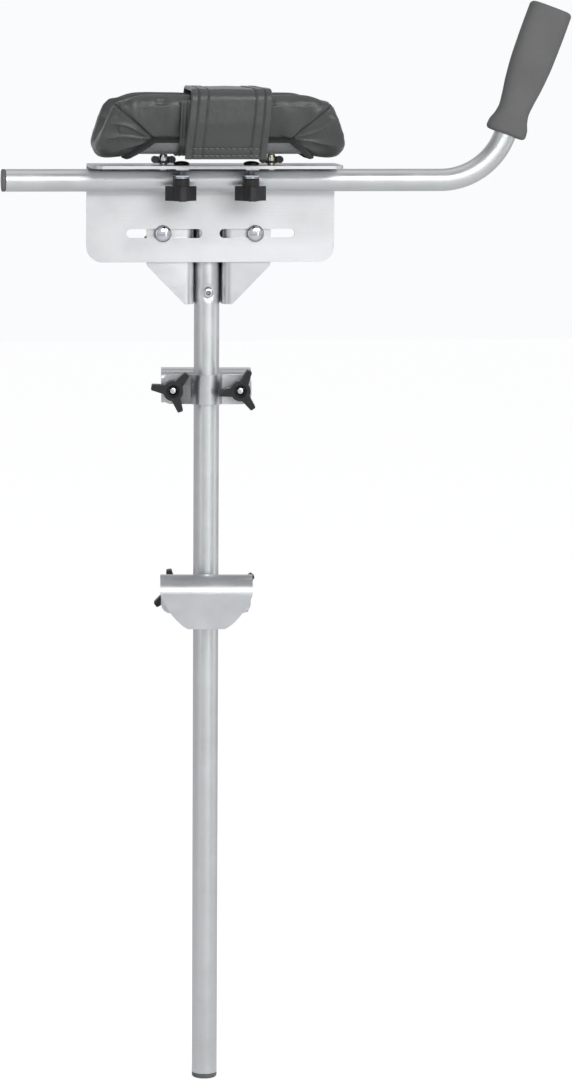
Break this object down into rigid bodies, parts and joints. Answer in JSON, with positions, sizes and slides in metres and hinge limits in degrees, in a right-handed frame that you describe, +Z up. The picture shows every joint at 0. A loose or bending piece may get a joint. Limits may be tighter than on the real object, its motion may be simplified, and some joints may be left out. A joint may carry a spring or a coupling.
{
  "type": "walker forearm platform attachment",
  "caption": "Padded forearm trough with strap and angled hand grip on a sliding plate, on a long post with knob-tightened clamps that hook over a walking frame's rails.",
  "frame": {"origin": "on the post's axis, at the bottom face of its end cap", "axes": "+Z up along the post, +X towards the hand grip, -Y towards the side with the upper clamp's knobs"},
  "size_m": [0.567, 0.1807, 1.0928],
  "materials": {
    "tube_aluminium": "satin, drawn",
    "plate_aluminium": "satin, brushed",
    "zinc": "bright zinc plate",
    "black_metal": "black oxide",
    "black_plastic": "moulded",
    "grey_plastic": "moulded",
    "shell_plastic": "moulded",
    "grip_rubber": "matte",
    "vinyl": "soft vinyl",
    "hook_and_loop": "woven pile"
  },
  "bodies": {
    "post": {"post_tube": "tube_aluminium", "post_end_cap": "grey_plastic", "post_bracket": "plate_aluminium", "post_screw_lower": "zinc", "post_screw_upper": "zinc", "post_nut_lower": "zinc", "post_nut_upper": "zinc", "slot_bolt_left": "zinc", "slot_bolt_right": "zinc"},
    "platform": {"platform_plate": "plate_aluminium", "handle_clip_left": "zinc", "handle_clip_right": "zinc", "clip_bolt_left": "black_metal", "clip_bolt_right": "black_metal", "trough_shell": "shell_plastic", "trough_pad": "vinyl", "trough_screw_left": "zinc", "trough_screw_right": "zinc", "trough_spacer_left": "zinc", "trough_spacer_right": "zinc", "trough_wing_nut_left": "black_plastic", "trough_wing_nut_right": "black_plastic", "arm_strap": "vinyl", "strap_loop_patch": "hook_and_loop"},
    "strap_flap": {"strap_flap": "vinyl", "strap_hook_patch": "hook_and_loop"},
    "handle_slider": {"handle_end_cap": "grey_plastic"},
    "handle": {"handle_tube": "tube_aluminium", "hand_grip": "grip_rubber"},
    "upper_clamp": {"upper_post_saddle": "plate_aluminium", "upper_rail_hook": "plate_aluminium", "upper_clamp_bolt_left": "zinc", "upper_clamp_bolt_right": "zinc"},
    "lower_clamp": {"lower_post_saddle": "plate_aluminium", "lower_rail_hook": "plate_aluminium", "lower_clamp_bolt_left": "zinc", "lower_clamp_bolt_right": "zinc"},
    "slot_washer_left": {"slot_washer_left": "zinc"},
    "slot_knob_left": {"slot_knob_left": "black_plastic"},
    "slot_washer_right": {"slot_washer_right": "zinc"},
    "slot_knob_right": {"slot_knob_right": "black_plastic"},
    "clip_washer_left": {"clip_washer_left": "zinc"},
    "clip_knob_left": {"clip_knob_left": "black_plastic"},
    "clip_washer_right": {"clip_washer_right": "zinc"},
    "clip_knob_right": {"clip_knob_right": "black_plastic"},
    "upper_clamp_washer_left": {"upper_clamp_washer_left": "zinc"},
    "upper_clamp_knob_left": {"upper_clamp_knob_left": "black_plastic"},
    "upper_clamp_washer_right": {"upper_clamp_washer_right": "zinc"},
    "upper_clamp_knob_right": {"upper_clamp_knob_right": "black_plastic"},
    "lower_clamp_washer_left": {"lower_clamp_washer_left": "zinc"},
    "lower_clamp_knob_left": {"lower_clamp_knob_left": "black_plastic"},
    "lower_clamp_washer_right": {"lower_clamp_washer_right": "zinc"},
    "lower_clamp_knob_right": {"lower_clamp_knob_right": "black_plastic"}
  },
  "joints": [
    {"name": "platform_slide", "type": "slide", "parent": "post", "child": "platform", "axis": [1, 0, 0], "range_m": [-0.034, 0.031]},
    {"name": "strap_open", "type": "hinge", "parent": "platform", "child": "strap_flap", "pos_m": [0.0026, -0.0017, 0.985], "axis": [-1, 0, 0], "range_deg": [0, 120]},
    {"name": "handle_slide", "type": "slide", "parent": "platform", "child": "handle_slider", "axis": [1, 0, 0], "range_m": [-0.1, 0.15]},
    {"name": "handle_swivel", "type": "hinge", "parent": "handle_slider", "child": "handle", "pos_m": [0, -0.0332, 0.915], "axis": [1, 0, 0], "continuous": true},
    {"name": "upper_clamp_slide", "type": "slide", "parent": "post", "child": "upper_clamp", "axis": [0, 0, 1], "range_m": [-0.07, 0.06]},
    {"name": "lower_clamp_slide", "type": "slide", "parent": "post", "child": "lower_clamp", "axis": [0, 0, 1], "range_m": [-0.44, 0.08]},
    {"name": "slot_knob_travel_left", "type": "slide", "parent": "post", "child": "slot_washer_left", "axis": [0, 1, 0], "range_m": [0, 0.00282]},
    {"name": "slot_knob_turn_left", "type": "hinge", "parent": "slot_washer_left", "child": "slot_knob_left", "pos_m": [-0.0462, -0.01, 0.8615], "axis": [0, 1, 0], "range_deg": [0, 720]},
    {"name": "slot_knob_travel_right", "type": "slide", "parent": "post", "child": "slot_washer_right", "axis": [0, 1, 0], "range_m": [0, 0.00282]},
    {"name": "slot_knob_turn_right", "type": "hinge", "parent": "slot_washer_right", "child": "slot_knob_right", "pos_m": [0.0462, -0.01, 0.8615], "axis": [0, 1, 0], "range_deg": [0, 720]},
    {"name": "clip_knob_travel_left", "type": "slide", "parent": "platform", "child": "clip_washer_left", "axis": [0, 0, -1], "range_m": [0, 0.00254]},
    {"name": "clip_knob_turn_left", "type": "hinge", "parent": "clip_washer_left", "child": "clip_knob_left", "pos_m": [-0.0329, -0.063, 0.9178], "axis": [0, 0, -1], "range_deg": [0, 720]},
    {"name": "clip_knob_travel_right", "type": "slide", "parent": "platform", "child": "clip_washer_right", "axis": [0, 0, -1], "range_m": [0, 0.00254]},
    {"name": "clip_knob_turn_right", "type": "hinge", "parent": "clip_washer_right", "child": "clip_knob_right", "pos_m": [0.0361, -0.063, 0.9178], "axis": [0, 0, -1], "range_deg": [0, 720]},
    {"name": "upper_clamp_knob_travel_left", "type": "slide", "parent": "upper_clamp", "child": "upper_clamp_washer_left", "axis": [-0.1045, -0.9945, 0], "range_m": [0, 0.00282]},
    {"name": "upper_clamp_knob_turn_left", "type": "hinge", "parent": "upper_clamp_washer_left", "child": "upper_clamp_knob_left", "pos_m": [-0.03414, -0.00335, 0.7049], "axis": [-0.1045, -0.9945, 0], "range_deg": [0, 720]},
    {"name": "upper_clamp_knob_travel_right", "type": "slide", "parent": "upper_clamp", "child": "upper_clamp_washer_right", "axis": [-0.1045, -0.9945, 0], "range_m": [0, 0.00282]},
    {"name": "upper_clamp_knob_turn_right", "type": "hinge", "parent": "upper_clamp_washer_right", "child": "upper_clamp_knob_right", "pos_m": [0.03269, -0.01037, 0.7049], "axis": [-0.1045, -0.9945, 0], "range_deg": [0, 720]},
    {"name": "lower_clamp_knob_travel_left", "type": "slide", "parent": "lower_clamp", "child": "lower_clamp_washer_left", "axis": [0.1045, 0.9945, 0], "range_m": [0, 0.00282]},
    {"name": "lower_clamp_knob_turn_left", "type": "hinge", "parent": "lower_clamp_washer_left", "child": "lower_clamp_knob_left", "pos_m": [-0.03269, 0.01037, 0.4973], "axis": [0.1045, 0.9945, 0], "range_deg": [0, 720]},
    {"name": "lower_clamp_knob_travel_right", "type": "slide", "parent": "lower_clamp", "child": "lower_clamp_washer_right", "axis": [0.1045, 0.9945, 0], "range_m": [0, 0.00282]},
    {"name": "lower_clamp_knob_turn_right", "type": "hinge", "parent": "lower_clamp_washer_right", "child": "lower_clamp_knob_right", "pos_m": [0.03414, 0.00335, 0.4973], "axis": [0.1045, 0.9945, 0], "range_deg": [0, 720]}
  ],
  "couplings": [
    {"joint": "slot_knob_turn_left", "follows": "slot_knob_travel_left", "rad_per_m": 4453},
    {"joint": "slot_knob_turn_right", "follows": "slot_knob_travel_right", "rad_per_m": 4453},
    {"joint": "clip_knob_turn_left", "follows": "clip_knob_travel_left", "rad_per_m": 4947.4},
    {"joint": "clip_knob_turn_right", "follows": "clip_knob_travel_right", "rad_per_m": 4947.4},
    {"joint": "upper_clamp_knob_turn_left", "follows": "upper_clamp_knob_travel_left", "rad_per_m": 4453},
    {"joint": "upper_clamp_knob_turn_right", "follows": "upper_clamp_knob_travel_right", "rad_per_m": 4453},
    {"joint": "lower_clamp_knob_turn_left", "follows": "lower_clamp_knob_travel_left", "rad_per_m": 4453},
    {"joint": "lower_clamp_knob_turn_right", "follows": "lower_clamp_knob_travel_right", "rad_per_m": 4453}
  ]
}
